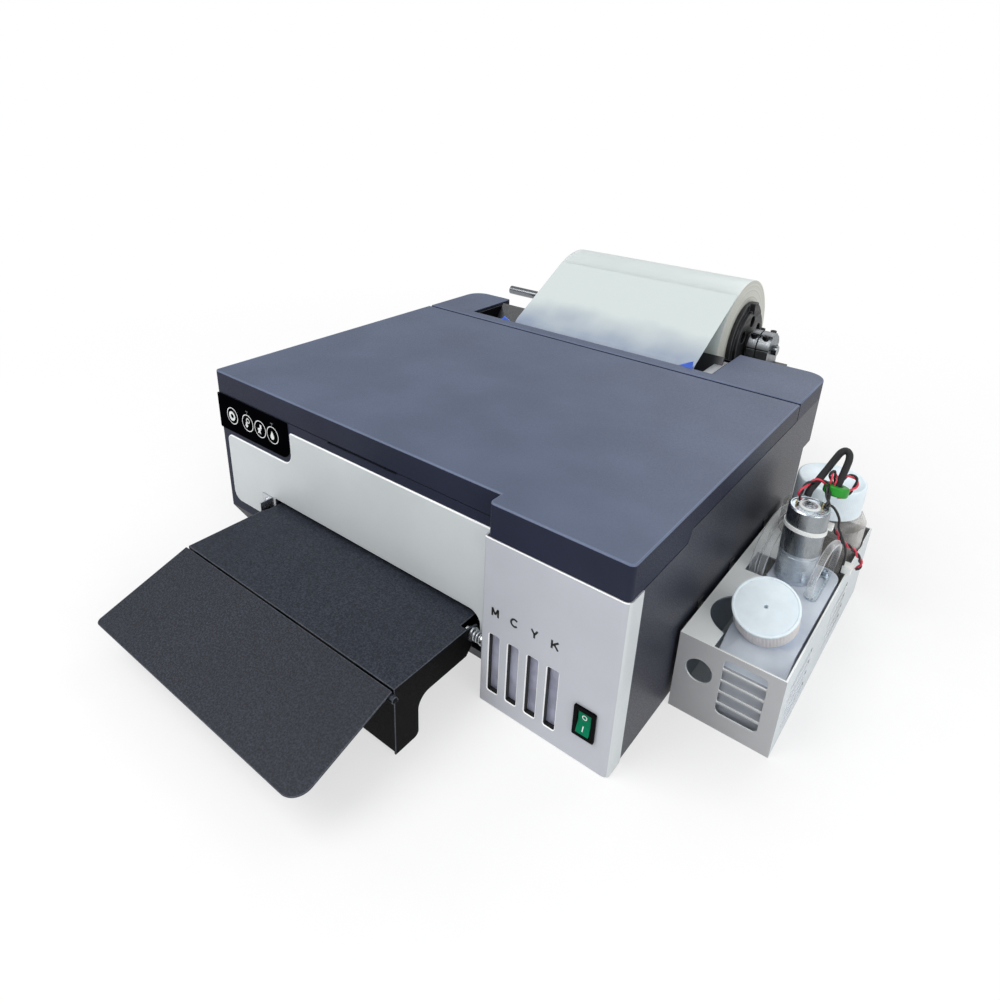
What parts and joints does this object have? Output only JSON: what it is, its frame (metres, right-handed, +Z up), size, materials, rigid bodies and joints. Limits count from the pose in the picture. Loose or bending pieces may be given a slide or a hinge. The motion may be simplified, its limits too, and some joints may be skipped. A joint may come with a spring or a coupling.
{
  "type": "roll-fed desktop inkjet printer",
  "caption": "Desktop film printer with a hinged lid, folding catch tray, rear film roll on a spindle and a side ink station with a stirring motor.",
  "frame": {"origin": "middle of the machine's footprint on the table, the free wires at the ink station left out", "axes": "+X to the right seen from the front, -Y towards the catch tray, +Z up"},
  "size_m": [0.4822, 0.6304, 0.215],
  "materials": {
    "slate_plastic": "satin",
    "lid_plastic": "fine matt grain",
    "rubber": "matt",
    "steel": "bright",
    "grey_steel": "satin powder coat",
    "gloss_black": "gloss",
    "black_nylon": "satin",
    "green_plastic": "gloss, translucent",
    "tank_plastic": "translucent",
    "powder_coat": "textured powder coat",
    "hdpe": "translucent, satin",
    "white_cap": "satin",
    "pet": "clear",
    "motor_steel": "turned and zinc plated",
    "clear_tube": "clear, soft",
    "cable_sleeve": "satin",
    "ferrite_green": "semi gloss",
    "wire_red": "semi gloss",
    "film": "matt translucent film",
    "card_core": "card",
    "cast_aluminium": "bead blasted",
    "blue_plastic": "semi gloss",
    "zinc_steel": "zinc plated",
    "grit_roller": "grit coated",
    "natural_nylon": "satin",
    "brass": "bright",
    "circuit_board": "satin solder mask"
  },
  "bodies": {
    "chassis": {"base_pan": "slate_plastic", "feet": "rubber", "body_shell": "slate_plastic", "rear_cover": "lid_plastic", "lid_hinge_pins": "steel", "front_panel": "grey_steel", "tank_panel": "grey_steel", "control_panel": "gloss_black", "switch_bezel": "black_nylon", "ink_tanks": "tank_plastic", "fixing_screws": "steel", "side_box": "grey_steel", "box_clips": "rubber", "white_ink_tank": "hdpe", "clear_bottle": "pet", "stir_motor": "motor_steel", "motor_bracket": "steel", "ink_tubes": "clear_tube", "motor_cable": "cable_sleeve", "ferrite_ring": "ferrite_green", "motor_wires": "wire_red", "wire_connector": "white_cap", "bearing_blocks": "cast_aluminium", "roll_brackets": "powder_coat", "film_web": "film", "feed_well": "black_nylon", "support_plate": "black_nylon", "main_frame": "zinc_steel", "platen": "black_nylon", "feed_motor": "motor_steel", "drive_belt": "rubber", "carriage_motor": "motor_steel", "capping_station": "black_nylon", "electronics": "circuit_board", "mains_inlet": "black_nylon"},
    "lid": {"lid": "lid_plastic"},
    "button_1": {"button_1": "gloss_black"},
    "button_2": {"button_2": "gloss_black"},
    "button_3": {"button_3": "gloss_black"},
    "button_4": {"button_4": "gloss_black"},
    "rocker": {"switch_rocker": "green_plastic"},
    "tray": {"tray": "powder_coat", "flap_hinge_pin": "steel"},
    "flap": {"tray_flap": "powder_coat"},
    "tank_cap": {"tank_cap": "white_cap"},
    "bottle_cap": {"bottle_cap": "white_cap"},
    "stirrer": {"stir_shaft": "steel"},
    "roll": {"film_roll": "film", "roll_core": "card_core", "roll_spindle": "steel", "roll_hubs": "black_nylon"},
    "guide_left": {"guide_left": "blue_plastic"},
    "guide_right": {"guide_right": "blue_plastic"},
    "feed_roller": {"feed_roller": "grit_roller", "feed_gear": "natural_nylon"},
    "pinion": {"motor_pinion": "brass"},
    "pinch": {"pinch_rollers": "rubber"},
    "carriage": {"print_carriage": "black_nylon"},
    "drive_pulley": {"drive_pulley": "brass"},
    "idler_pulley": {"idler_pulley": "brass"}
  },
  "joints": [
    {"name": "lid_hinge", "type": "hinge", "parent": "chassis", "child": "lid", "pos_m": [-0.03575, 0.10774, 0.154], "axis": [-1, 0, 0], "range_deg": [0, 60]},
    {"name": "button_1_press", "type": "slide", "parent": "chassis", "child": "button_1", "axis": [0, 1, 0], "range_m": [0, 0.0008], "stiffness_N_per_m": 400, "springref_m": -0.0006},
    {"name": "button_2_press", "type": "slide", "parent": "chassis", "child": "button_2", "axis": [0, 1, 0], "range_m": [0, 0.0008], "stiffness_N_per_m": 400, "springref_m": -0.0006},
    {"name": "button_3_press", "type": "slide", "parent": "chassis", "child": "button_3", "axis": [0, 1, 0], "range_m": [0, 0.0008], "stiffness_N_per_m": 400, "springref_m": -0.0006},
    {"name": "button_4_press", "type": "slide", "parent": "chassis", "child": "button_4", "axis": [0, 1, 0], "range_m": [0, 0.0008], "stiffness_N_per_m": 400, "springref_m": -0.0006},
    {"name": "rocker_tilt", "type": "hinge", "parent": "chassis", "child": "rocker", "pos_m": [0.14765, -0.16926, 0.0347], "axis": [1, 0, 0], "range_deg": [0, 16]},
    {"name": "tray_hinge", "type": "hinge", "parent": "chassis", "child": "tray", "pos_m": [-0.03575, -0.16676, 0.0473], "axis": [-1, 0, 0], "range_deg": [0, 75]},
    {"name": "flap_hinge", "type": "hinge", "parent": "tray", "child": "flap", "pos_m": [-0.03575, -0.24286, 0.04995], "axis": [-1, 0, 0], "range_deg": [-20, 18.7]},
    {"name": "tank_cap_lift", "type": "slide", "parent": "chassis", "child": "tank_cap", "axis": [0, -0.5, 0.866], "range_m": [0, 0.03]},
    {"name": "bottle_cap_lift", "type": "slide", "parent": "chassis", "child": "bottle_cap", "axis": [0, 0, 1], "range_m": [0, 0.03]},
    {"name": "stir_spin", "type": "hinge", "parent": "chassis", "child": "stirrer", "pos_m": [0.20675, 0.01924, 0.04], "axis": [0, 0, 1], "continuous": true},
    {"name": "roll_spin", "type": "hinge", "parent": "chassis", "child": "roll", "pos_m": [-0.03575, 0.25124, 0.151], "axis": [1, 0, 0], "continuous": true},
    {"name": "guide_left_slide", "type": "slide", "parent": "chassis", "child": "guide_left", "axis": [-1, 0, 0], "range_m": [0, 0.004]},
    {"name": "guide_right_slide", "type": "slide", "parent": "chassis", "child": "guide_right", "axis": [1, 0, 0], "range_m": [0, 0.004]},
    {"name": "feed_spin", "type": "hinge", "parent": "chassis", "child": "feed_roller", "pos_m": [-0.03575, 0.04124, 0.048], "axis": [1, 0, 0], "continuous": true},
    {"name": "pinion_spin", "type": "hinge", "parent": "chassis", "child": "pinion", "pos_m": [-0.03575, 0.06943, 0.05826], "axis": [1, 0, 0], "continuous": true},
    {"name": "pinch_spin", "type": "hinge", "parent": "chassis", "child": "pinch", "pos_m": [-0.03575, 0.04124, 0.0615], "axis": [1, 0, 0], "continuous": true},
    {"name": "carriage_slide", "type": "slide", "parent": "chassis", "child": "carriage", "axis": [-1, 0, 0], "range_m": [0, 0.253]},
    {"name": "drive_pulley_spin", "type": "hinge", "parent": "chassis", "child": "drive_pulley", "pos_m": [-0.19175, 0.00424, 0.112], "axis": [0, 1, 0], "continuous": true},
    {"name": "idler_pulley_spin", "type": "hinge", "parent": "chassis", "child": "idler_pulley", "pos_m": [0.12025, 0.00424, 0.112], "axis": [0, 1, 0], "continuous": true}
  ],
  "couplings": [
    {"joint": "guide_right_slide", "follows": "guide_left_slide", "ratio": 1},
    {"joint": "pinion_spin", "follows": "feed_spin", "ratio": -4},
    {"joint": "pinch_spin", "follows": "feed_spin", "ratio": -1.6},
    {"joint": "drive_pulley_spin", "follows": "carriage_slide", "rad_per_m": 147.06},
    {"joint": "idler_pulley_spin", "follows": "carriage_slide", "rad_per_m": 147.06}
  ]
}
